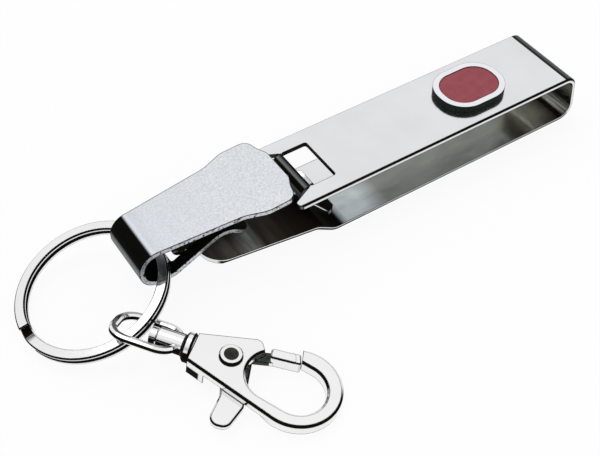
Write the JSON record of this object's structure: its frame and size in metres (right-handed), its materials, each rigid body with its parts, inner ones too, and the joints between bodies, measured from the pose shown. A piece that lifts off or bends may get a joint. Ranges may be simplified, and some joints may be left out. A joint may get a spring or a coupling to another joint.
{
  "type": "belt key clip",
  "caption": "Bent steel belt clip with a matte hanger hook carrying a split key ring and a swivel snap hook with a sprung trigger.",
  "frame": {"origin": "centre of the flat back face of the belt band", "axes": "+X along the band to its squared end, +Y across the strip, +Z from the back run to the badge"},
  "size_m": [0.1236, 0.0597, 0.0147],
  "materials": {
    "band_steel": "polished steel strip",
    "hanger_steel": "fine matte",
    "ring_steel": "polished",
    "hook_nickel": "polished plate on a casting",
    "pin_steel": "turned and plated",
    "spring_steel": "plain wire",
    "badge_metal": "polished",
    "badge_enamel": "glossy enamel"
  },
  "bodies": {
    "band": {"belt_band": "band_steel", "badge_rim": "badge_metal", "badge_enamel": "badge_enamel"},
    "hanger": {"hanger_clip": "hanger_steel"},
    "ring": {"split_ring": "ring_steel"},
    "bail": {"swivel_bail": "hook_nickel"},
    "hook": {"hook_body": "hook_nickel", "swivel_stud": "pin_steel", "neck_collar": "hook_nickel", "pivot_rivet": "pin_steel", "torsion_spring": "spring_steel"},
    "trigger": {"trigger_lever": "hook_nickel"}
  },
  "joints": [
    {"name": "hanger_swing", "type": "hinge", "parent": "band", "child": "hanger", "pos_m": [-0.0594, 0, 0.00712], "axis": [0, -1, 0], "range_deg": [0, 25]},
    {"name": "ring_swing", "type": "hinge", "parent": "hanger", "child": "ring", "pos_m": [-0.06414, -0.00022, 0.00821], "axis": [0, 1, 0], "range_deg": [-5, 60]},
    {"name": "bail_swing", "type": "hinge", "parent": "ring", "child": "bail", "pos_m": [-0.07477, -0.01362, 0.00568], "axis": [-0.9496, -0.1995, -0.2419], "range_deg": [-10, 45]},
    {"name": "hook_swivel", "type": "hinge", "parent": "bail", "child": "hook", "pos_m": [-0.06834, -0.02159, 0.00445], "axis": [0.6255, -0.7685, -0.1349], "continuous": true},
    {"name": "trigger_pull", "type": "hinge", "parent": "hook", "child": "trigger", "pos_m": [-0.06382, -0.02673, 0.00503], "axis": [-0.0968, 0.0951, -0.9907], "range_deg": [0, 28], "stiffness_Nm_per_rad": 0.02, "springref_deg": -17.19}
  ]
}
